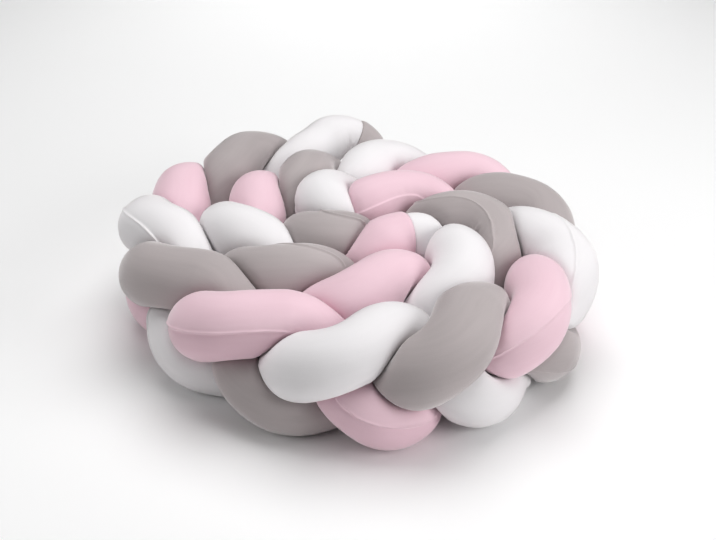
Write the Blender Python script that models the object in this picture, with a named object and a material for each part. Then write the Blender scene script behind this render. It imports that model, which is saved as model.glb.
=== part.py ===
"""Braided crib bumper, laid in a spiral on the floor: three stuffed velvet tubes, white, grey and pink.

The braid stands on its edge and runs anticlockwise, seen from above, from its outer end at the back to
its inner end in the middle.  Along it the tubes take turns over the top edge, so every top crossing has
a number, its station: white at 0, 3, 6 and so on, grey at 1, 4, 7, pink at 2, 5, 8.  The table CROSSINGS
places each crossing on the floor plan.

At each end of the braid two tubes are sewn together end to end, so the three tubes are one long rope:
pink runs inwards, white back outwards and grey inwards again.  The rope is modelled as one centre line,
cut at the two sewn joins.  A tube is round where it is free, and where it meets another tube, itself or
the floor, both are pressed flat halfway between their centre lines.
"""

import bpy
import numpy as np

MM = 0.001

# Tubes and braid, in millimetres
TUBE_RADIUS = 31.5    # radius of a tube where nothing presses it
STUFFING = 0.90       # share of the round section that the stuffing still fills where it is pressed
MOST_SWELL = 1.12     # a pressed tube swells no more than this elsewhere
STIFFNESS = 9.0       # the stuffing evens out kinks of the centre line that are shorter than this
LOW_LINE = 30.5       # height of a tube's centre line at the bottom edge of the braid
PRESS_GAP = 2.9       # clear space between two pressed faces
JOIN_GAP = 0.4        # clear space between the two faces of a sewn join
END_ROUND = 24.0      # length of the rounded closed end of a tube

# Mesh, in millimetres
FINE_STEP = 1.5       # spacing of the close points that stand for the centre line
RING_STEP = 15.0      # spacing of the rings along a tube
CAP_TURNS = (20, 42, 65)      # where the rings of a rounded end lie on its quarter circle, in degrees
SIDES = 14            # corners of a ring
SWELL_EVENED = 15.0   # the swelling is evened out over this length
LINE_STEP = 6.0       # spacing of the points of the centre line that the pressing is worked out from
SAME_TUBE = 12.0      # points of the rope nearer than this along it do not press on a ring
SAME_BEND = 90.0      # points nearer than this along it belong to the same bend, and only keep it open
REACH = 150.0         # points farther off than this are not looked at
BLEND = 10.0          # higher gives sharper edges between the round and the pressed surface

# Top crossings: station, x and y on the floor plan, height of the tube's centre line there, how far the
# braid's bottom edge stands inwards of its top edge, how far the tubes swing to each side, and how full
# the tube is that crosses there
CROSSINGS = (
    (-1, 56, 290, 106, 9, 22.5, 1),
    (0, -45, 269, 109, 9, 25, 0.96),
    (1, -144, 198, 116, 9, 17, 1),
    (2, -202, 126, 108, 9, 10, 0.95),
    (3, -214, 42, 108, 12, 18, 1),
    (4, -172, -60, 107, 12, 22.5, 1),
    (5, -94, -141, 107, 15, 22.5, 1),
    (6, 7, -177, 105, 15, 25, 0.95),
    (7, 99, -158, 112, 21, 26, 1.04),
    (8, 179, -92, 106, 8, 12, 0.90),
    (9, 198, 13, 107, 6, 21, 1),
    (10, 172, 108, 109, 9, 22.5, 1),
    (11, 110, 168, 109, 6, 22.5, 1),
    (12, 16, 191, 109, 4, 22.5, 1.03),
    (13, -60, 144, 116, 3, 18, 1.02),
    (14, -113, 101, 113, 3, 11, 0.93),
    (15, -124, 23, 111, 4, 18, 1),
    (16, -68, -55, 108, 4, 22.5, 1),
    (17, 19, -81, 107, 4, 22.5, 1),
    (18, 105, -39, 111, 3, 22.5, 1),
    (19, 118, 47, 116, 2, 22.5, 1),
    (20, 34, 93, 120, 0, 21.5, 1),
    (21, -37, 82, 119, 0, 18, 1),
    (22, -23, 14, 109, 0, 16, 1),
    (23, 42, 10, 115, 0, 9, 0.98),
    (24, 108, 18, 115, 0, 9, 1),
)

# Sewn ends: station, swing as a share of the spread, height as a share of the braid's half height, fullness
INNER_LOOP = (        # pink over the top crossing 23, then white down and back under it
    (23.20, -0.20, 1.02, 0.92),
    (23.40, -0.60, 0.86, 0.84),
    (23.48, -1.40, 0.15, 0.82),
    (23.32, -1.20, -0.58, 0.90),
    (22.95, -0.40, -0.95, 1),
)
INNER_JOIN = (23.14, -0.17, 1.02)
OUTER_LOOP = (        # white from the top crossing 0 outwards, then grey down and back under it
    (-0.22, 0.76, 1.04, 0.92),
    (-0.42, 0.96, 0.90, 0.92),
    (-0.58, 0.75, 0.25, 1),
    (-0.50, 0.10, -0.55, 1.05),
    (-0.25, -0.50, -0.90, 1),
)
OUTER_JOIN = (-0.42, 0.96, 0.90)
JOIN_NECK = 0.90      # a tube is this much thinner where it is gathered into a sewn join
NECK_LENGTH = 24.0
PINK_STARTS, GREY_STOPS = 0.12, 22.72      # stations of the two ends that are hidden in the braid
WHITE, GREY, PINK = 0, 1, 2                # a tube's first top crossing

# Look of the cloth: colour, roughness
CLOTH = {
    "tube_white": ((0.86, 0.85, 0.86), 0.9),
    "tube_grey": ((0.40, 0.37, 0.36), 0.9),
    "tube_pink": ((0.90, 0.62, 0.70), 0.9),
}


def spline(knots, values, at):
    """Natural cubic spline through the values at the knots."""
    knots, values, at = (np.asarray(a, float) for a in (knots, values, at))
    step, count = np.diff(knots), len(knots)
    matrix, right = np.eye(count), np.zeros_like(values)
    for i in range(1, count - 1):
        matrix[i, i - 1:i + 2] = step[i - 1], 2 * (step[i - 1] + step[i]), step[i]
        right[i] = 6 * ((values[i + 1] - values[i]) / step[i] - (values[i] - values[i - 1]) / step[i - 1])
    bend = np.linalg.solve(matrix, right)
    i = np.clip(np.searchsorted(knots, at) - 1, 0, count - 2)
    h = step[i][:, None]
    before, after = (knots[i + 1] - at)[:, None], (at - knots[i])[:, None]
    ends = (values[i] / h - bend[i] * h / 6) * before + (values[i + 1] / h - bend[i + 1] * h / 6) * after
    return (bend[i] * before**3 + bend[i + 1] * after**3) / (6 * h) + ends


def place(rows):
    """Points of the rope and their fullness, from rows of station, spread share, height share, fullness."""
    rows = np.asarray(rows, float)
    table = np.array(CROSSINGS, float)
    here = spline(table[:, 0], table[:, 1:], rows[:, 0])
    ahead = spline(table[:, 0], table[:, 1:], rows[:, 0] + 0.01)
    along = (ahead - here)[:, :2]
    along /= np.linalg.norm(along, axis=1)[:, None]
    outward = np.stack([along[:, 1], -along[:, 0]], 1)
    lean = here[:, 3] * (1 - rows[:, 2]) / 2
    plan = here[:, :2] + outward * (here[:, 4] * rows[:, 1] - lean)[:, None]
    height = LOW_LINE + (here[:, 2] - LOW_LINE) * (1 + rows[:, 2]) / 2
    return np.concatenate([plan, height[:, None], rows[:, 3:]], 1)


def braided(tube, start, stop):
    """Rows of a tube between two stations: one swing over the edges for every three stations."""
    station = np.linspace(start, stop, int(round(abs(stop - start) * 5)) + 1)
    angle = np.radians(90 + 120 * (station - tube))
    table = np.array(CROSSINGS, float)
    full_on_top = np.interp(tube + 3 * np.round((station - tube) / 3), table[:, 0], table[:, 6])
    full = 1 + (full_on_top - 1) * np.maximum(np.sin(angle), 0)
    return np.stack([station, np.sin(2 * angle), np.sin(angle), full], 1)


def rope_line():
    """The rope's centre line as close points with their fullness, their lengths along it, and the lengths
    of its two joins."""
    rows = np.concatenate([
        braided(PINK, PINK_STARTS, 23),
        np.array(INNER_LOOP),
        braided(WHITE, 22.5, 0),
        np.array(OUTER_LOOP),
        braided(GREY, 0, GREY_STOPS),
    ])
    knots = place(rows)
    chord = np.concatenate([[0], np.cumsum(np.linalg.norm(np.diff(knots[:, :3], axis=0), axis=1))])
    fine = spline(chord, knots, np.linspace(0, chord[-1], int(chord[-1] / FINE_STEP)))
    reach = np.arange(-3 * STIFFNESS, 3 * STIFFNESS + FINE_STEP, FINE_STEP)
    window = np.exp(-0.5 * (reach / STIFFNESS) ** 2)
    ends = [np.repeat(fine[k:k + 1], len(reach) // 2, 0) for k in (0, len(fine) - 1)]
    fine = np.concatenate([ends[0], fine, ends[1]])
    fine = np.stack([np.convolve(fine[:, k], window / window.sum(), "valid") for k in range(4)], 1)
    run = np.concatenate([[0], np.cumsum(np.linalg.norm(np.diff(fine[:, :3], axis=0), axis=1))])
    joins = []
    for join in (INNER_JOIN, OUTER_JOIN):
        joins.append(run[np.argmin(np.linalg.norm(fine[:, :3] - place([join]), axis=1))])
    return fine, run, joins


def at_lengths(fine, run, lengths):
    """Points of the centre line at lengths along the rope."""
    return np.stack([np.interp(lengths, run, fine[:, k]) for k in range(3)], 1)


def rope_directions(fine, run):
    """Directions along the rope and two across it, carried along without turning about the rope."""
    lengths = np.arange(0, run[-1], FINE_STEP)
    along = np.gradient(at_lengths(fine, run, lengths), axis=0)
    along /= np.linalg.norm(along, axis=1)[:, None]
    side = np.cross(along[0], (0, 0, 1))
    across = np.zeros_like(along)
    for i, direction in enumerate(along):
        side = side - direction * side.dot(direction)
        side /= np.linalg.norm(side)
        across[i] = side
    upright = np.cross(along, across)

    def directions_at(here):
        pick = np.clip(np.searchsorted(lengths, here), 0, len(lengths) - 1)
        return along[pick], across[pick], upright[pick]
    return directions_at


def pressed_radii(points, lengths, line, line_lengths, directions):
    """How far each ring reaches in each direction before it meets another tube, itself or the floor.

    Two tubes of equal girth press on each other halfway between their centre lines, so the reach from
    a point towards another point of the rope is half the square of their distance, divided by how far
    off that point lies in the direction looked at."""
    limit = np.full(directions.shape[:2], 1e3)
    for i, point in enumerate(points):
        offset = line - point
        square = np.sum(offset**2, 1)
        away = np.abs(line_lengths - lengths[i])
        near = (square < REACH**2) & (away > SAME_TUBE)
        gap = np.where(away[near] > SAME_BEND, PRESS_GAP, 0)
        facing = directions[i] @ offset[near].T + gap
        reach = (square[near] - gap**2) / np.maximum(2 * facing, 1e-6)
        limit[i] = np.where(facing > 1e-6, reach, 1e3).min(1)
    down = np.maximum(-directions[..., 2], 1e-6)
    floor = points[:, None, 2] / down
    return limit, floor


def swelling(limit, floor, lengths, unpressed):
    """Radius of the free part of every ring, larger where it is pressed, so that the stuffing has room."""
    free = unpressed
    wanted = STUFFING * np.pi * unpressed**2
    window = np.exp(-0.5 * ((lengths[:, None] - lengths) / SWELL_EVENED) ** 2)
    window /= window.sum(1)[:, None]
    for _ in range(3):
        radius = (free[:, None]**-BLEND + limit**-BLEND + floor**-BLEND) ** (-1 / BLEND)
        area = 0.5 * np.sum(radius * np.roll(radius, -1, 1), 1) * np.sin(2 * np.pi / limit.shape[1])
        free = window @ (free * np.clip(np.sqrt(wanted / area), 0.85, 1.15))
        free = np.clip(free, 0.95 * unpressed, MOST_SWELL * unpressed)
    return free


def tube_surface(fine, run, directions_at, start, stop, round_start, round_stop):
    """Rings of a tube between two lengths of the rope, and the two points that close its ends.

    A ring's radius is the least of its free radius and its reach to a neighbour, with a soft edge between
    the two, and of its reach to the floor."""
    lengths = np.linspace(start, stop, int(round((stop - start) / RING_STEP)) + 1)
    cap = END_ROUND * (1 - np.cos(np.radians(CAP_TURNS)))
    if round_start:
        lengths = np.concatenate([start + cap, lengths[lengths > start + END_ROUND]])
    if round_stop:
        lengths = np.concatenate([lengths[lengths < stop - END_ROUND], stop - cap[::-1]])
    points = at_lengths(fine, run, lengths)
    ends = at_lengths(fine, run, [start, stop])
    along, across, upright = directions_at(lengths)
    if not round_start:
        points[0] += along[0] * JOIN_GAP / 2
        ends[0] += along[0] * JOIN_GAP / 2
    if not round_stop:
        points[-1] -= along[-1] * JOIN_GAP / 2
        ends[1] -= along[-1] * JOIN_GAP / 2
    turn = np.linspace(0, 2 * np.pi, SIDES, endpoint=False)[None, :, None]
    directions = np.cos(turn) * across[:, None] + np.sin(turn) * upright[:, None]
    line_lengths = np.arange(0, run[-1], LINE_STEP)
    line = at_lengths(fine, run, line_lengths)
    limit, floor = pressed_radii(points, lengths, line, line_lengths, directions)
    unpressed = TUBE_RADIUS * np.interp(lengths, run, fine[:, 3])
    free = swelling(limit, floor, lengths, unpressed)[:, None]
    for end, rounded in ((start, round_start), (stop, round_stop)):
        off = np.abs(lengths - end)[:, None]
        if rounded:
            free = free * np.sqrt(1 - (1 - np.clip(off / END_ROUND, 0, 1)) ** 2)
        else:
            free = free * (1 - (1 - JOIN_NECK) * np.exp(-((off / NECK_LENGTH) ** 2)))
    radius = (free**-BLEND + limit**-BLEND) ** (-1 / BLEND)
    radius = np.minimum(radius, floor)
    return points[:, None] + radius[..., None] * directions, ends


def closed_mesh(name, rings, ends):
    """A closed mesh of quads between the rings, with a fan of triangles at each end."""
    count, sides = rings.shape[:2]
    points = np.concatenate([rings.reshape(-1, 3), ends]) * MM
    i, j = np.meshgrid(np.arange(count - 1), np.arange(sides), indexing="ij")
    k = (j + 1) % sides
    quads = np.stack([i * sides + j, i * sides + k, (i + 1) * sides + k, (i + 1) * sides + j], -1)
    faces = quads.reshape(-1, 4).tolist()
    first, last = count * sides, count * sides + 1
    for j in range(sides):
        k = (j + 1) % sides
        faces.append([first, k, j])
        faces.append([last, (count - 1) * sides + j, (count - 1) * sides + k])
    mesh = bpy.data.meshes.new(name)
    mesh.from_pydata(points.tolist(), [], faces)
    mesh.validate()
    mesh.update()
    return mesh


def build():
    """The three tubes, each with its own material, moved so that the middle of the plan is the origin."""
    for leftover in list(bpy.data.objects):
        bpy.data.objects.remove(leftover, do_unlink=True)
    collection = bpy.data.collections.new("crib_bumper")
    bpy.context.scene.collection.children.link(collection)

    fine, run, (inner, outer) = rope_line()
    turned = rope_directions(fine, run)
    tubes = {
        "tube_pink": tube_surface(fine, run, turned, 0, inner, True, False),
        "tube_white": tube_surface(fine, run, turned, inner, outer, False, False),
        "tube_grey": tube_surface(fine, run, turned, outer, run[-1], False, True),
    }
    everything = np.concatenate([rings.reshape(-1, 3) for rings, _ in tubes.values()])
    middle = (everything.min(0) + everything.max(0)) / 2
    middle[2] = 0
    for name, (rings, ends) in tubes.items():
        thing = bpy.data.objects.new(name, closed_mesh(name, rings - middle, ends - middle))
        collection.objects.link(thing)
        colour, rough = CLOTH[name]
        material = bpy.data.materials.new(name)
        material.use_nodes = True
        shader = material.node_tree.nodes["Principled BSDF"]
        shader.inputs["Base Color"].default_value = (*colour, 1)
        shader.inputs["Roughness"].default_value = rough
        shader.inputs["Metallic"].default_value = 0
        thing.data.materials.append(material)


build()
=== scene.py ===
"""Looks of the braided crib bumper: three stuffed velvet tubes, white, grey and pink, laid in a spiral.

The braid stands on its edge and runs anticlockwise, seen from above, from its outer end at the back to
its inner end in the middle.  The three tubes are sewn end to end into one rope, and the rope is worked
out here from the same tables as the solids, with finer rings, the raised seam along each tube, the
gathers at the two sewn joins, the puckers inside tight bends and the soft lumps of the stuffing.
Lengths are in millimetres until a mesh is made.
"""

import bpy
import numpy as np
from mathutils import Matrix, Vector


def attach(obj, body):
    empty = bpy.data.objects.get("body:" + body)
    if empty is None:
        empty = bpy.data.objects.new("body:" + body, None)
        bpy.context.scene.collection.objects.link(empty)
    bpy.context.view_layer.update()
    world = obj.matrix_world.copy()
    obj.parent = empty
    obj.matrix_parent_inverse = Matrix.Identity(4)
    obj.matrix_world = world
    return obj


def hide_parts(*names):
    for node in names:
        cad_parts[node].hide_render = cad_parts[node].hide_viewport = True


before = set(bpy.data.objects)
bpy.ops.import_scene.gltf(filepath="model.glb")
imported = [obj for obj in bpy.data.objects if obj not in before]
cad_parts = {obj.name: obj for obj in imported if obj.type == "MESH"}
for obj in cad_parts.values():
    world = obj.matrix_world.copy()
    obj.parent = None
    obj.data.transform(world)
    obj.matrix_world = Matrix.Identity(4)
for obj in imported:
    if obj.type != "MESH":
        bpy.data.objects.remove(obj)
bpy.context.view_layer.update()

MM = 0.001

# Tubes and braid, as in the solids
TUBE_RADIUS = 31.5    # radius of a tube where nothing presses it
STUFFING = 0.90       # share of the round section that the stuffing still fills where it is pressed
MOST_SWELL = 1.12     # a pressed tube swells no more than this elsewhere
LEAST_SWELL = 0.95    # and shrinks no more than this
SWELL_STEP = 0.15     # share by which the swelling changes at most in each of its rounds
SWELL_ROUNDS = 3
SWELL_EVENED = 15.0   # the swelling is evened out over this length
STIFFNESS = 9.0       # the stuffing evens out kinks of the centre line that are shorter than this
LOW_LINE = 30.5       # height of a tube's centre line at the bottom edge of the braid
END_ROUND = 24.0      # length of the rounded closed end of a tube
SAME_TUBE = 12.0      # points of the rope nearer than this along it do not press on a ring
SAME_BEND = 90.0      # points nearer than this along it belong to the same bend, and only keep it open
REACH = 150.0         # points farther off than this are not looked at
UNPRESSED = 1e3       # reach where nothing presses
TINY = 1e-6           # least divisor
BLEND = 10.0          # higher gives sharper edges between the round and the pressed surface
JOIN_GAP = 0.4        # clear space between the two faces of a sewn join
JOIN_GAP_FADE = 2.0   # the rings beside a join make way for that space over this length
FINE_STEP = 1.5       # spacing of the close points that stand for the centre line
ROWS_A_STATION = 5    # rows of a braided tube between two crossings
AHEAD = 0.01          # the braid's direction is taken between a station and one this much farther
PINK_STARTS, GREY_STOPS = 0.12, 22.72      # stations of the two hidden closed ends
WHITE, GREY, PINK = 0, 1, 2                # station of each tube's first top crossing

# Finer than in the solids
PRESS_GAP = 0.5           # clear space between two pressed faces
PRESSED_SHARE = 0.995     # the cloth reaches at most this share of the way to where a neighbour presses it
RING_STEP = 2.8           # spacing of the rings along a tube
LEAST_RING_STEP = 1.5     # least space between those rings and the closer ones at a tube's ends
CAP_TURNS = (6, 14, 23, 33, 44, 56, 68)      # rings of a rounded end, in degrees on its quarter circle
JOIN_RINGS = (0, 0.35, 0.9, 1.7, 2.8, 4.2)   # distances of the closer rings from a sewn join
LINE_STEP = 3.0           # spacing of the points that the pressing is worked out from
SIDES = 46                # columns round a tube, apart from those along its seam
BEND_EVENED = 6.0         # a tube's bend is evened out over this length

# Sewn joins: both tubes are gathered into them
JOIN_NECK = 0.93          # share of its width that a tube keeps at the join
NECK_LENGTH = 16.0        # and it regains its width over about this length
SHOULDER_DROP = 1.7       # the cloth's edge turns down this much into the join
SHOULDER_LENGTH = 3.5     # in a quarter circle of this length
GATHERS = ((22, 1.0, 0), (13, 0.6, 1))       # folds round the tube, share, phase
GATHER_HEIGHT = 0.18
GATHER_LENGTH = 7.0       # the folds fade over this length

# Top crossings: station, x and y on the floor plan, height of the tube's centre line there, how far the
# braid's bottom edge stands inwards of its top edge, how far the tubes swing to each side, and how full
# the tube is that crosses there
CROSSINGS = (
    (-1, 56, 290, 106, 9, 22.5, 1),
    (0, -45, 269, 109, 9, 25, 0.96),
    (1, -144, 198, 116, 9, 17, 1),
    (2, -202, 126, 108, 9, 10, 0.95),
    (3, -214, 42, 108, 12, 18, 1),
    (4, -172, -60, 107, 12, 22.5, 1),
    (5, -94, -141, 107, 15, 22.5, 1),
    (6, 7, -177, 105, 15, 25, 0.95),
    (7, 99, -158, 112, 21, 26, 1.04),
    (8, 179, -92, 106, 8, 12, 0.90),
    (9, 198, 13, 107, 6, 21, 1),
    (10, 172, 108, 109, 9, 22.5, 1),
    (11, 110, 168, 109, 6, 22.5, 1),
    (12, 16, 191, 109, 4, 22.5, 1.03),
    (13, -60, 144, 116, 3, 18, 1.02),
    (14, -113, 101, 113, 3, 11, 0.93),
    (15, -124, 23, 111, 4, 18, 1),
    (16, -68, -55, 108, 4, 22.5, 1),
    (17, 19, -81, 107, 4, 22.5, 1),
    (18, 105, -39, 111, 3, 22.5, 1),
    (19, 118, 47, 116, 2, 22.5, 1),
    (20, 34, 93, 120, 0, 21.5, 1),
    (21, -37, 82, 119, 0, 18, 1),
    (22, -23, 14, 109, 0, 16, 1),
    (23, 42, 10, 115, 0, 9, 0.98),
    (24, 108, 18, 115, 0, 9, 1),
)

# Sewn ends: station, swing as a share of the spread, height as a share of the braid's half height, fullness
INNER_LOOP = (
    (23.20, -0.20, 1.02, 0.92),
    (23.40, -0.60, 0.86, 0.84),
    (23.48, -1.40, 0.15, 0.82),
    (23.32, -1.20, -0.58, 0.90),
    (22.95, -0.40, -0.95, 1),
)
INNER_JOIN = (23.14, -0.17, 1.02)
OUTER_LOOP = (
    (-0.22, 0.76, 1.04, 0.92),
    (-0.42, 0.96, 0.90, 0.92),
    (-0.58, 0.75, 0.25, 1),
    (-0.50, 0.10, -0.55, 1.05),
    (-0.25, -0.50, -0.90, 1),
)
OUTER_JOIN = (-0.42, 0.96, 0.90)

# Lengthwise seam of each tube: station, turn from the tube's top towards its right side in degrees, and
# the painted light and shade beside it: how much lighter (or darker, if negative) the pile is painted on
# the seam's far side than on its near side, as the light falls on the two sides
PINK_SEAM = (
    (0.1, 130, 0), (2, 130, 0), (3.5, 110, 0), (4.4, 80, -0.6), (4.75, 69, -0.8), (5.25, 69, -0.8),
    (5.85, 63, -0.7), (6.2, 84, -0.7), (6.6, 92, -0.5), (7.3, 77, -0.4), (7.5, 57, -0.4), (7.6, 45, -0.2),
    (7.75, 50, 0), (8.1, 95, 0), (8.6, 110, 0), (11, 100, 0), (12.5, 140, 0), (14, 180, 0), (15.5, 220, 0),
    (17, 265, 0), (18.5, 290, 0), (19.9, 303, 0.05), (20.3, 303, 0.05), (21.5, 300, 0), (23.2, 290, 0),
)
WHITE_SEAM = (
    (23.2, -90, 0), (21, -90, 0), (19.5, -130, 0), (18, -175, 0), (16.5, -180, 0), (15, -170, 0),
    (13.5, -120, 0), (12, -90, 0), (9.5, -90, 0), (9.2, -65, 0), (9, -30, 0), (8.85, -3, 0.1),
    (8.7, -8, 0.2), (8.55, -25, 0.2), (8.43, -40, 0.1), (8.1, -90, 0), (7.5, -150, 0), (6, -175, 0),
    (4.7, -172, 0), (4.3, -150, 0), (4.1, -105, 0), (4, -76, 0.2), (3.9, -63, 0.4), (3.17, -62, 0.5),
    (3.05, -51, 0.4), (2.9, -46, 0.4), (2.8, -50, 0.4), (2.3, -60, 0), (0, -90, 0), (-0.4, -90, 0),
)
GREY_SEAM = (
    (-0.4, 120, 0), (1, 120, 0), (2.5, 160, 0), (4, 200, 0), (5.5, 190, 0), (7, 170, 0), (7.5, 135, 0.2),
    (7.8, 109, 0.4), (7.95, 113, 0.4), (8.5, 120, 0), (10, 110, 0), (13, 90, 0), (14.5, 20, 0),
    (15.6, -45, 0), (15.95, -45, 0), (16.08, 9, 0.6), (16.35, 9, 0.6), (17.5, 20, 0), (18.3, 38, 0.6),
    (18.44, 29, 1), (18.5, 10, 1), (18.6, -12, 1), (18.76, -28, 1), (18.9, -24, 1), (19.07, -10, 1),
    (19.3, 0, 0.5), (20.5, -45, 0), (21.8, -45, 0), (21.93, 12, 0.6), (22.13, 16, 0.6), (22.3, 12, 0.6),
    (22.7, -20, 0),
)
BEYOND = 100.0        # length for a station beyond the braided part of a tube
STATIONS_BEYOND = 3   # the seam's table may run this far beyond it
SEAM_EASE = 12.0      # the seam's course is evened out over this length
SEAM_HEIGHT = 1.5     # the two cloth edges inside the seam raise a ridge this high where the pile is parted
SEAM_LEAST = 0.25     # share of that height where it isn't
SEAM_PARTED = 0.5     # difference in painted shade from which the pile counts as parted
SEAM_HALF = 1.0       # distance from the ridge's crest at which it has fallen to about a third
PAINTED_CREST_HIGHLIGHT = 0.5     # painted highlight: how much lighter the crest is painted where the pile is parted
PAINTED_HIGHLIGHT_HALF = 1.6        # distance from the crest at which that painted highlight has fallen to about a third
SEAM_STEP = 0.55      # the cloth lies this much higher on the seam's near side, and lower on its far side
STEP_HALF, STEP_WIDTH = 1.2, 11.0      # it changes sides over the first distance and fades over the second
SHADE_HALF, SHADE_WIDTH = 1.5, 30.0    # the same for the painted light and shade beside the seam
DRAWN = 0.22          # the sewing thread draws the cloth up and down this much beside the seam
DRAWN_FROM, DRAWN_WIDTH = 2.0, 8.0     # between these distances from it
DRAWS = ((14, 0, 0.6, 0), (9, 0, 0.4, 2))          # columns as in LUMPS, below
SEAM_COLUMNS = (0.6, 1.3, 2.1, 3.1, 4.6, 6.8)      # distances of the mesh's columns from the seam

# Soft lumps of the stuffing: wave length along the tube, waves round it, height, phase
LUMPS = ((173, 1, 0.50, 0.3), (97, 2, 0.40, 1.7), (64, 3, 0.22, 4.1), (41, 2, 0.14, 2.6))

# Puckers inside tight bends: wave length along the tube, twist round it, share, phase
PUCKERS = ((11, 0.8, 0.50, 0.0), (17, -1.3, 0.35, 1.9), (37, 2.1, 0.35, 4.4))
PUCKER_HEIGHT = 2.0
PUCKER_FROM, PUCKER_FULL = 0.25, 0.60   # shares by which the inside of the bend is shortened

# Pile of the velvet: stretch of each noise along and across the tube, its waves in a metre, detail,
# roughness, and share of the tone
PATCHES = ((1, 2.2, 2.2), 9, 2, 0.5, 0.9)
STREAKS = ((1, 6, 6), 24, 3, 0.6, 0.5)
GRAIN = ((1, 1, 1), 1700, 2, 0.7, 0.3)
PAINTED_SHADE_SHARE = 0.34             # share of the painted light and shade beside the seam, and of its painted crest highlight, in the tone
STREAK_HEIGHT = 0.8           # height of the streaks, as a share of the grain's
BUMP_STRENGTH, BUMP_DEPTH = 0.25, 0.0004   # the second in metres
ROUGH_LIGHT, ROUGH_MORE = 0.84, 0.12       # roughness of the lightest pile, and what the darkest adds
SPECULAR = 0.12
SHEEN_ROUGHNESS = 0.35
SHEEN_TINT = (1, 0.97, 0.97, 1)

# Node of the solid, its slot in the record, the pile's light and dark colour, and its sheen
CLOTHS = {
    "tube_pink": ("velvet_pink", (0.86, 0.63, 0.70), (0.78, 0.535, 0.61), 0.60),
    "tube_white": ("velvet_white", (0.87, 0.85, 0.862), (0.80, 0.78, 0.792), 0.90),
    "tube_grey": ("velvet_grey", (0.49, 0.44, 0.44), (0.37, 0.33, 0.33), 1.0),
}

# Camera, fitted to the photo's 716 by 540 frame
PHOTO_WIDTH = 716
FOCAL_PIXELS = 1160
TARGET_PIXELS_BELOW_MIDDLE = 20
CAMERA_RISE = 31.0        # degrees above the floor
CAMERA_DISTANCE = 1240.0
CAMERA_TARGET = (0.0, 0.0, 60.0)     # on the floor plan of the table above
SENSOR = 36.0

# Soft boxes: name, place and the point it faces in metres, size, spread of its light in degrees, and
# power in watts
SOFT_BOXES = (
    ("overhead", (0.1, 0.25, 1.9), (0, 0, 0.08), 1.8, 180, 35),
    ("right", (1.9, -1.0, 0.9), (0, 0, 0.08), 1.2, 180, 25),
    ("front_left", (-1.3, -1.3, 1.5), (0, 0, 0.08), 1.2, 180, 5),
    ("left", (-2.0, 0.0, 0.8), (0, 0, 0.08), 1.2, 180, 5),
    ("floor_behind", (0, 1.5, 1.5), (0, 1.6, 0), 1.2, 60, 2.5),
)
SURROUNDINGS = 0.05           # strength of the white light from all around

FLOOR_HALF = 6.0              # half the side of the floor, in metres
FLOOR_WHITE, FLOOR_ROUGHNESS, FLOOR_SPECULAR = 0.96, 0.9, 0.1


def spline(knots, values, at):
    """Natural cubic spline: cubic pieces through the values at the knots, whose bend runs evenly from knot to
    knot and is nothing at both ends."""
    knots, values, at = (np.asarray(a, float) for a in (knots, values, at))
    step, count = np.diff(knots), len(knots)
    matrix, right = np.eye(count), np.zeros_like(values)
    for i in range(1, count - 1):
        matrix[i, i - 1:i + 2] = step[i - 1], 2 * (step[i - 1] + step[i]), step[i]
        right[i] = 6 * ((values[i + 1] - values[i]) / step[i] - (values[i] - values[i - 1]) / step[i - 1])
    bend = np.linalg.solve(matrix, right)
    i = np.clip(np.searchsorted(knots, at) - 1, 0, count - 2)
    h = step[i][:, None]
    before, after = (knots[i + 1] - at)[:, None], (at - knots[i])[:, None]
    ends = (values[i] / h - bend[i] * h / 6) * before + (values[i + 1] / h - bend[i + 1] * h / 6) * after
    return (bend[i] * before**3 + bend[i + 1] * after**3) / (6 * h) + ends


def place(rows):
    """Points of the rope and their fullness, from rows of station, swing share, height share, fullness.

    A point lies on the line through the crossings, moved outwards by its swing and inwards by the braid's
    lean, more the lower it is, and its height runs from the low line to the height of the crossing."""
    rows = np.asarray(rows, float)
    table = np.array(CROSSINGS, float)
    here = spline(table[:, 0], table[:, 1:], rows[:, 0])
    ahead = spline(table[:, 0], table[:, 1:], rows[:, 0] + AHEAD)
    along = (ahead - here)[:, :2]
    along /= np.linalg.norm(along, axis=1)[:, None]
    outward = np.stack([along[:, 1], -along[:, 0]], 1)
    lean = here[:, 3] * (1 - rows[:, 2]) / 2
    plan = here[:, :2] + outward * (here[:, 4] * rows[:, 1] - lean)[:, None]
    height = LOW_LINE + (here[:, 2] - LOW_LINE) * (1 + rows[:, 2]) / 2
    return np.concatenate([plan, height[:, None], rows[:, 3:]], 1)


def braided(tube, start, stop):
    """Rows of a tube between two stations.

    Over three stations its height share is one wave, highest at the tube's own crossings, and its swing
    is two waves, which carry it from one side of the braid to the other and back."""
    station = np.linspace(start, stop, int(round(abs(stop - start) * ROWS_A_STATION)) + 1)
    angle = np.radians(90 + 120 * (station - tube))
    table = np.array(CROSSINGS, float)
    full_on_top = np.interp(tube + 3 * np.round((station - tube) / 3), table[:, 0], table[:, 6])
    full = 1 + (full_on_top - 1) * np.maximum(np.sin(angle), 0)
    return np.stack([station, np.sin(2 * angle), np.sin(angle), full], 1)


def evened(values, reach, step):
    """Values at even steps, averaged under a bell curve of that reach; the end values are repeated."""
    offsets = np.arange(-3 * reach, 3 * reach + step, step)
    window = np.exp(-0.5 * (offsets / reach) ** 2)
    window /= window.sum()
    half = len(offsets) // 2
    longer = np.concatenate([np.repeat(values[:1], half, 0), values, np.repeat(values[-1:], half, 0)])
    return np.stack([np.convolve(longer[:, k], window, "valid") for k in range(values.shape[1])], 1)


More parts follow.
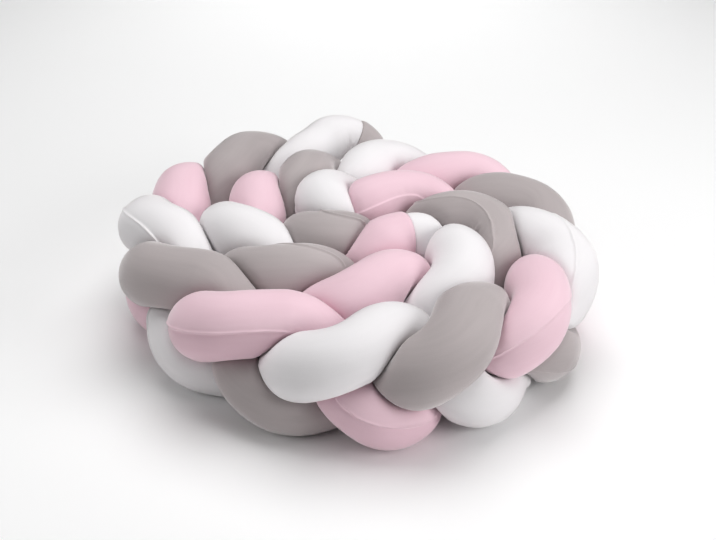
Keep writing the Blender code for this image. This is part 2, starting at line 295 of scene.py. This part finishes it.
def rope_line():
    """The rope's centre line as close points with their fullness, their lengths along it, the lengths of
    its two joins, and the stations and lengths of each tube's braided part."""
    parts = {
        "tube_pink": braided(PINK, PINK_STARTS, 23),
        "inner loop": np.array(INNER_LOOP),
        "tube_white": braided(WHITE, 22.5, 0),
        "outer loop": np.array(OUTER_LOOP),
        "tube_grey": braided(GREY, 0, GREY_STOPS),
    }
    knots = place(np.concatenate(list(parts.values())))
    chord = np.concatenate([[0], np.cumsum(np.linalg.norm(np.diff(knots[:, :3], axis=0), axis=1))])
    even = np.linspace(0, chord[-1], int(chord[-1] / FINE_STEP))
    fine = evened(spline(chord, knots, even), STIFFNESS, FINE_STEP)
    run = np.concatenate([[0], np.cumsum(np.linalg.norm(np.diff(fine[:, :3], axis=0), axis=1))])
    joins = []
    for join in (INNER_JOIN, OUTER_JOIN):
        joins.append(run[np.argmin(np.linalg.norm(fine[:, :3] - place([join]), axis=1))])
    knot_lengths = np.interp(chord, even, run)
    stations = {}
    for name, rows in parts.items():
        stations[name] = rows[:, 0], knot_lengths[:len(rows)]
        knot_lengths = knot_lengths[len(rows):]
    return fine, run, joins, stations


def at_lengths(fine, run, lengths):
    """Points of the rope's centre line at lengths along it, by straight steps between the close points."""
    return np.stack([np.interp(lengths, run, fine[:, k]) for k in range(3)], 1)


def unit(vectors):
    """Vectors divided by their own length."""
    return vectors / np.linalg.norm(vectors, axis=-1, keepdims=True)


def tube_directions(fine, run, first, last):
    """Directions along a tube, to its top and to its right side, and the bend: a vector towards the inside
    of the curve, as long as one over its radius.

    Between two lengths of the rope, where the tube is braided, its top is the side that faces upwards.
    Beyond them the top is carried along without turning about the tube."""
    lengths = np.arange(0, run[-1], FINE_STEP)
    along = unit(np.gradient(at_lengths(fine, run, lengths), axis=0))
    top = unit(np.array([0, 0, 1]) - along * along[:, 2:])
    for i in np.flatnonzero(lengths > last):
        top[i] = unit(top[i - 1] - along[i] * along[i].dot(top[i - 1]))
    for i in np.flatnonzero(lengths < first)[::-1]:
        top[i] = unit(top[i + 1] - along[i] * along[i].dot(top[i + 1]))
    right = np.cross(along, top)
    bend = evened(np.gradient(along, FINE_STEP, axis=0), BEND_EVENED, FINE_STEP)

    def directions_at(here):
        """The directions and the bend at the nearest close point beyond each length."""
        pick = np.clip(np.searchsorted(lengths, here), 0, len(lengths) - 1)
        return along[pick], top[pick], right[pick], bend[pick]
    return directions_at


def seam_course(rows, stations, lengths):
    """Turn of the seam round the tube in radians, and shade of the pile beside it, at lengths of the rope.
    Beyond the braided part of the tube a station counts for BEYOND."""
    at, long = stations
    ahead = np.sign(at[-1] - at[0])
    more = STATIONS_BEYOND * ahead
    at = np.concatenate([[at[0] - more], at, [at[-1] + more]]) * ahead
    longer = STATIONS_BEYOND * BEYOND
    long = np.concatenate([[long[0] - longer], long, [long[-1] + longer]])
    rows = np.array(rows, float)
    steps = np.arange(lengths[0], lengths[-1] + FINE_STEP, FINE_STEP)
    rows_long = np.interp(rows[:, 0] * ahead, at, long)
    order = np.argsort(rows_long)
    course = np.stack([np.interp(steps, rows_long[order], rows[order, k]) for k in (1, 2)], 1)
    course = evened(course, SEAM_EASE, FINE_STEP)
    return np.radians(np.interp(lengths, steps, course[:, 0])), np.interp(lengths, steps, course[:, 1])


def pressed_radii(points, lengths, line, line_lengths, directions):
    """How far each ring reaches in each direction before it meets another tube, itself or the floor.

    Two tubes of equal girth press on each other halfway between their centre lines, so the reach from
    a point towards another point of the rope is half the square of their distance, divided by how far
    off that point lies in the direction looked at, and a little less where a gap is left between them.
    The reach to the floor is the point's height, divided by how steeply the direction falls."""
    limit = np.full(directions.shape[:2], UNPRESSED)
    for i, point in enumerate(points):
        offset = line - point
        square = np.sum(offset**2, 1)
        away = np.abs(line_lengths - lengths[i])
        near = (square < REACH**2) & (away > SAME_TUBE)
        gap = np.where(away[near] > SAME_BEND, PRESS_GAP, 0)
        facing = directions[i] @ offset[near].T + gap
        reach = (square[near] - gap**2) / np.maximum(2 * facing, TINY)
        limit[i] = np.where(facing > TINY, reach, UNPRESSED).min(1)
    down = np.maximum(-directions[..., 2], TINY)
    floor = points[:, None, 2] / down
    return limit, floor


def swelling(limit, floor, lengths, widths, unpressed):
    """Radius of the free part of every ring, larger where the ring is pressed, so that the stuffing has room.

    Each round grows the radius by the root of the area wanted over the area of the pressed ring, and evens
    it out along the tube."""
    free = unpressed
    wanted = STUFFING * np.pi * unpressed**2
    window = np.exp(-0.5 * ((lengths[:, None] - lengths) / SWELL_EVENED) ** 2)
    window /= window.sum(1)[:, None]
    for _ in range(SWELL_ROUNDS):
        radius = (free[:, None]**-BLEND + limit**-BLEND + floor**-BLEND) ** (-1 / BLEND)
        area = 0.5 * np.sum(radius * np.roll(radius, -1, 1) * np.sin(widths), 1)
        free = window @ (free * np.clip(np.sqrt(wanted / area), 1 - SWELL_STEP, 1 + SWELL_STEP))
        free = np.clip(free, LEAST_SWELL * unpressed, MOST_SWELL * unpressed)
    return free


def tube_columns():
    """Turns of the mesh's columns from the seam, close together beside it, and the widths between them."""
    close = np.array(SEAM_COLUMNS) / TUBE_RADIUS
    rest = np.linspace(close[-1], 2 * np.pi - close[-1], SIDES)
    turns = np.concatenate([[0], close[:-1], rest, 2 * np.pi - close[-2::-1]])
    return turns, np.diff(np.append(turns, 2 * np.pi))


def ring_lengths(start, stop, round_start, round_stop):
    """Lengths of the rings, closer together near a sewn join and on a rounded closed end."""
    lengths = np.linspace(start, stop, int(round((stop - start) / RING_STEP)) + 1)
    cap = END_ROUND * (1 - np.cos(np.radians(CAP_TURNS)))
    join = np.array(JOIN_RINGS)
    first, last = (cap if round_start else join), (cap if round_stop else join)
    from_here, to_here = start + first[-1] + LEAST_RING_STEP, stop - last[-1] - LEAST_RING_STEP
    inner = lengths[(lengths > from_here) & (lengths < to_here)]
    return np.concatenate([start + first, inner, stop - last[::-1]])


def waves(rows, lengths, turns):
    """Sum of sine waves that run along and round the tube.  A row holds wave length, waves round the tube,
    share and phase."""
    total = 0
    for wave, round_it, share, phase in rows:
        total = total + share * np.sin(2 * np.pi * lengths[:, None] / wave + round_it * turns + phase)
    return total


def falling(distance, width):
    """Bell curve: one at no distance, about a third at the width."""
    return np.exp(-((distance / width) ** 2))


def seam_relief(from_seam, parted, lengths):
    """Height of the cloth near the seam: a ridge on it, higher where the pile is parted, a bulge that
    changes sign across it, and waves beside it where the thread draws the cloth together."""
    ridge = SEAM_HEIGHT * (SEAM_LEAST + (1 - SEAM_LEAST) * parted) * falling(from_seam, SEAM_HALF)
    bulge = SEAM_STEP * np.tanh(-from_seam / STEP_HALF) * falling(from_seam, STEP_WIDTH)
    draw = falling(from_seam, DRAWN_WIDTH) - falling(from_seam, DRAWN_FROM)
    return ridge + bulge + DRAWN * draw * waves(DRAWS, lengths, np.zeros(1))


def seam_painted_light(from_seam, parted, shade):
    """Painted light and shade of the pile: opposite on the two sides of the seam, as the light falls on them,
    fading away from it, and a painted highlight on the crest where the pile is parted."""
    # painted light on one side of the seam and painted shade on the other, then the painted crest highlight
    pile = shade * np.tanh(from_seam / SHADE_HALF) * falling(from_seam, SHADE_WIDTH)
    return pile + PAINTED_CREST_HIGHLIGHT * parted * falling(from_seam, PAINTED_HIGHLIGHT_HALF)


def bend_puckers(bend, directions, lengths, angle):
    """Waves inside a tight bend, growing with the square of how far the cloth there is shortened: the
    tube's radius times the bend towards that side."""
    shortened = TUBE_RADIUS * np.einsum("ik,ijk->ij", bend, directions)
    tight = np.clip((shortened - PUCKER_FROM) / (PUCKER_FULL - PUCKER_FROM), 0, 1)
    return PUCKER_HEIGHT * tight**2 * waves(PUCKERS, lengths, angle)


def rounded_end(free, relief, off):
    """Free radius and relief at a closed end: the radius follows a quarter circle down to nothing."""
    share = np.clip(off / END_ROUND, 0, 1)
    return free * np.sqrt(1 - (1 - share) ** 2), relief * share


def gathered_end(free, relief, off, angle):
    """Free radius and relief at a sewn join: the tube narrows to a neck, its cloth lies in folds that fade
    with the distance, and its edge turns down into the join on a quarter circle."""
    free = free * (1 - (1 - JOIN_NECK) * falling(off, NECK_LENGTH))
    folds = sum(share * np.cos(count * angle + phase) for count, share, phase in GATHERS)
    relief = relief + GATHER_HEIGHT * np.exp(-off / GATHER_LENGTH) * folds
    edge = 1 - np.clip(off / SHOULDER_LENGTH, 0, 1)
    return free, relief - SHOULDER_DROP * (1 - np.sqrt(1 - edge**2))


def tube_surface(fine, run, stations, start, stop, round_start, round_stop, seam_rows):
    """Rings of a tube between two lengths of the rope, the two points that close its ends, the place of
    each point on the cloth as if the tube were straight, and the painted light and shade of its pile
    beside the seam.

    The radius is the smooth least of the free radius and the reach to what presses the tube, plus the
    relief of the cloth, and never more than either that reach or the reach to the floor."""
    lengths = ring_lengths(start, stop, round_start, round_stop)
    points = at_lengths(fine, run, lengths)
    ends = at_lengths(fine, run, [start, stop])
    along, top, right, bend = tube_directions(fine, run, stations[1][0], stations[1][-1])(lengths)
    if not round_start:
        points += along * (JOIN_GAP / 2 * np.exp(-(lengths - start) / JOIN_GAP_FADE))[:, None]
        ends[0] += along[0] * JOIN_GAP / 2
    if not round_stop:
        points -= along * (JOIN_GAP / 2 * np.exp(-(stop - lengths) / JOIN_GAP_FADE))[:, None]
        ends[1] -= along[-1] * JOIN_GAP / 2

    seam, shade = seam_course(seam_rows, stations, lengths)
    turns, widths = tube_columns()
    angle = seam[:, None] + turns
    directions = np.cos(angle)[..., None] * top[:, None] + np.sin(angle)[..., None] * right[:, None]
    line_lengths = np.arange(0, run[-1], LINE_STEP)
    line = at_lengths(fine, run, line_lengths)
    limit, floor = pressed_radii(points, lengths, line, line_lengths, directions)
    unpressed = TUBE_RADIUS * np.interp(lengths, run, fine[:, 3])
    free = swelling(limit, floor, lengths, widths, unpressed)[:, None]

    from_seam = np.where(turns > np.pi, turns - 2 * np.pi, turns) * TUBE_RADIUS
    parted = np.clip(np.abs(shade) / SEAM_PARTED, 0, 1)[:, None]
    relief = waves(LUMPS, lengths, angle) + bend_puckers(bend, directions, lengths, angle)
    relief = relief + seam_relief(from_seam, parted, lengths)
    for end, rounded in ((start, round_start), (stop, round_stop)):
        off = np.abs(lengths - end)[:, None]
        if rounded:
            free, relief = rounded_end(free, relief, off)
        else:
            free, relief = gathered_end(free, relief, off, angle)
    radius = (free**-BLEND + limit**-BLEND) ** (-1 / BLEND) + relief
    radius = np.minimum(np.minimum(radius, PRESSED_SHARE * limit), floor)

    along_cloth = np.broadcast_to(lengths[:, None], radius.shape)
    cloth = np.stack([along_cloth, TUBE_RADIUS * np.cos(angle), TUBE_RADIUS * np.sin(angle)], -1)
    # painted light and shade beside the seam, with a painted highlight on its crest
    pile = seam_painted_light(from_seam, parted, shade[:, None])
    return points[:, None] + radius[..., None] * directions, ends, cloth, pile


def tube_mesh(name, rings, ends, cloth, pile):
    """A closed mesh of quads between the rings, with a fan of triangles at each end.  It carries the place on
    the cloth and the painted light and shade of the pile beside the seam as its attributes."""
    count, sides = rings.shape[:2]
    points = np.concatenate([rings.reshape(-1, 3), ends]) * MM
    i, j = np.meshgrid(np.arange(count - 1), np.arange(sides), indexing="ij")
    k = (j + 1) % sides
    quads = np.stack([i * sides + j, i * sides + k, (i + 1) * sides + k, (i + 1) * sides + j], -1)
    j = np.arange(sides)
    k = (j + 1) % sides
    low = np.stack([np.full(sides, count * sides), k, j], -1)
    high = np.stack([np.full(sides, count * sides + 1), (count - 1) * sides + j, (count - 1) * sides + k], -1)
    corners = np.concatenate([quads.ravel(), low.ravel(), high.ravel()]).astype(np.int32)
    sizes = np.concatenate([np.full(quads.size // 4, 4), np.full(2 * sides, 3)])
    mesh = bpy.data.meshes.new(name)
    mesh.vertices.add(len(points))
    mesh.vertices.foreach_set("co", points.astype(np.float32).ravel())
    mesh.loops.add(len(corners))
    mesh.loops.foreach_set("vertex_index", corners)
    mesh.polygons.add(len(sizes))
    mesh.polygons.foreach_set("loop_start", (np.cumsum(sizes) - sizes).astype(np.int32))
    mesh.update(calc_edges=True)
    mesh.validate()
    mesh.shade_smooth()
    place_on_cloth = np.concatenate([cloth.reshape(-1, 3), cloth[[0, -1]].mean(1)]) * MM
    mesh.attributes.new("cloth", "FLOAT_VECTOR", "POINT").data.foreach_set(
        "vector", place_on_cloth.astype(np.float32).ravel())
    # the pile attribute holds painted light and shade beside the seam and a painted highlight on its crest
    shades = np.append(pile.ravel(), (0, 0))
    mesh.attributes.new("pile", "FLOAT", "POINT").data.foreach_set("value", shades.astype(np.float32))
    return mesh


class Wire:
    """An output of a node in a material.  Arithmetic on it adds Math nodes; node() adds any other node."""

    def __init__(self, tree, socket=None):
        self.tree = tree
        self.socket = socket

    def node(self, kind, settings, inputs, output=0):
        """One output of a new node, with its settings, and its inputs as values or links."""
        made = self.tree.nodes.new(kind)
        for name, value in settings.items():
            setattr(made, name, value)
        for name, value in inputs.items():
            if isinstance(value, Wire):
                self.tree.links.new(value.socket, made.inputs[name])
            else:
                made.inputs[name].default_value = value
        return Wire(self.tree, made.outputs[output])

    def math(self, operation, first, second):
        """A Math node with two inputs."""
        return self.node("ShaderNodeMath", {"operation": operation}, {0: first, 1: second})

    def __add__(self, other):
        return self.math("ADD", self, other)

    def __sub__(self, other):
        return self.math("SUBTRACT", self, other)

    def __rsub__(self, other):
        return self.math("SUBTRACT", other, self)

    def __mul__(self, other):
        return self.math("MULTIPLY", self, other)

    __radd__ = __add__
    __rmul__ = __mul__


def velvet(name, light, dark, sheen):
    """Short-pile velvet: the light and the dark colour of the pile as it lies one way or the other.

    The tone between them is a half, plus the shares of three noises (brushed patches, streaks along the
    tube, the grain of the pile) and of the painted light and shade beside the seam, with its painted
    highlight on the crest.  Darker pile is rougher, and grain and streaks are the bump."""
    material = bpy.data.materials.new(name)
    material.use_nodes = True
    tree = material.node_tree
    shader = tree.nodes["Principled BSDF"]
    start = Wire(tree)
    cloth = start.node("ShaderNodeAttribute", {"attribute_name": "cloth"}, {}, "Vector")
    # pile: painted light and shade beside the seam, with a painted highlight on the crest
    pile = start.node("ShaderNodeAttribute", {"attribute_name": "pile"}, {}, "Fac")

    tone, noises = 0.5 + PAINTED_SHADE_SHARE * pile, []
    for stretch, waves_a_metre, detail, roughness, share in (PATCHES, STREAKS, GRAIN):
        stretched = start.node("ShaderNodeMapping", {}, {"Vector": cloth, "Scale": stretch})
        sockets = {"Vector": stretched, "Scale": waves_a_metre, "Detail": detail, "Roughness": roughness}
        noises.append(start.node("ShaderNodeTexNoise", {}, sockets))
        tone = tone + share * (noises[-1] - 0.5)
    streaks, grain = noises[1:]
    colours = {0: tone, 6: (*dark, 1), 7: (*light, 1)}
    colour = start.node("ShaderNodeMix", {"data_type": "RGBA", "clamp_factor": True}, colours, 2)
    rough = ROUGH_LIGHT + ROUGH_MORE * (1 - tone)
    height = grain + STREAK_HEIGHT * streaks
    bump_sockets = {"Strength": BUMP_STRENGTH, "Distance": BUMP_DEPTH, "Height": height}
    bumps = start.node("ShaderNodeBump", {}, bump_sockets)
    tree.links.new(colour.socket, shader.inputs["Base Color"])
    tree.links.new(rough.socket, shader.inputs["Roughness"])
    tree.links.new(bumps.socket, shader.inputs["Normal"])
    shader.inputs["Specular IOR Level"].default_value = SPECULAR
    shader.inputs["Sheen Weight"].default_value = sheen
    shader.inputs["Sheen Roughness"].default_value = SHEEN_ROUGHNESS
    shader.inputs["Sheen Tint"].default_value = SHEEN_TINT
    return material


def build_bumper():
    """The three velvet tubes, each riding on the one body, moved so that the middle of their floor plan is
    the origin.  Gives where that middle was."""
    fine, run, (inner, outer), stations = rope_line()
    spans = {
        "tube_pink": (0, inner, True, False, PINK_SEAM),
        "tube_white": (inner, outer, False, False, WHITE_SEAM),
        "tube_grey": (outer, run[-1], False, True, GREY_SEAM),
    }
    tubes = {node: tube_surface(fine, run, stations[node], *span) for node, span in spans.items()}
    everything = np.concatenate([rings.reshape(-1, 3) for rings, *_ in tubes.values()])
    middle = (everything.min(0) + everything.max(0)) / 2
    middle[2] = 0
    for node, (rings, ends, cloth, pile) in tubes.items():
        slot, light, dark, sheen = CLOTHS[node]
        mesh = tube_mesh("velvet_" + node, rings - middle, ends - middle, cloth, pile)
        piece = bpy.data.objects.new("velvet_" + node, mesh)
        bpy.context.scene.collection.objects.link(piece)
        mesh.materials.append(velvet(slot, light, dark, sheen))
        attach(piece, "root")
        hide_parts(node)
    return middle


def build_floor():
    """A wide pale floor under the braid, one square."""
    corners = [(x * FLOOR_HALF, y * FLOOR_HALF, 0) for x, y in ((-1, -1), (1, -1), (1, 1), (-1, 1))]
    mesh = bpy.data.meshes.new("floor")
    mesh.from_pydata(corners, [], [(0, 1, 2, 3)])
    floor = bpy.data.objects.new("floor", mesh)
    bpy.context.scene.collection.objects.link(floor)
    material = bpy.data.materials.new("pale_floor")
    material.use_nodes = True
    shader = material.node_tree.nodes["Principled BSDF"]
    shader.inputs["Base Color"].default_value = (FLOOR_WHITE, FLOOR_WHITE, FLOOR_WHITE, 1)
    shader.inputs["Roughness"].default_value = FLOOR_ROUGHNESS
    shader.inputs["Specular IOR Level"].default_value = FLOOR_SPECULAR
    mesh.materials.append(material)


def build_light():
    """A wide soft box overhead, a low one on the right, two weak ones on the left, one for the floor behind
    the bumper, and dim surroundings."""
    for name, place, faces, size, spread, power in SOFT_BOXES:
        data = bpy.data.lights.new(name, "AREA")
        data.shape = "SQUARE"
        data.size = size
        data.spread = np.radians(spread)
        data.energy = power
        lamp = bpy.data.objects.new(name, data)
        lamp.location = place
        lamp.rotation_euler = (Vector(faces) - Vector(place)).to_track_quat("-Z", "Y").to_euler()
        bpy.context.scene.collection.objects.link(lamp)
    world = bpy.data.worlds.new("studio")
    world.use_nodes = True
    world.node_tree.nodes["Background"].inputs["Color"].default_value = (1, 1, 1, 1)
    world.node_tree.nodes["Background"].inputs["Strength"].default_value = SURROUNDINGS
    bpy.context.scene.world = world


def build_camera(middle):
    """The camera stands back from its target by its distance, along a line that rises at its angle.  It looks
    a little above the target, so the target comes out below the middle of the picture."""
    rise = np.radians(CAMERA_RISE)
    back = np.array([0, -np.cos(rise), np.sin(rise)])
    stand = (np.array(CAMERA_TARGET) - middle + back * CAMERA_DISTANCE) * MM
    data = bpy.data.cameras.new("photo_camera")
    data.sensor_width = SENSOR
    data.lens = FOCAL_PIXELS / PHOTO_WIDTH * SENSOR
    camera = bpy.data.objects.new("photo_camera", data)
    camera.location = stand
    tilt = np.pi / 2 - rise + np.arctan(TARGET_PIXELS_BELOW_MIDDLE / FOCAL_PIXELS)
    camera.rotation_euler = (tilt, 0, 0)
    bpy.context.scene.collection.objects.link(camera)
    bpy.context.scene.camera = camera


bpy.context.scene.view_settings.view_transform = "Standard"
plan_middle = build_bumper()
build_camera(plan_middle)
build_floor()
build_light()
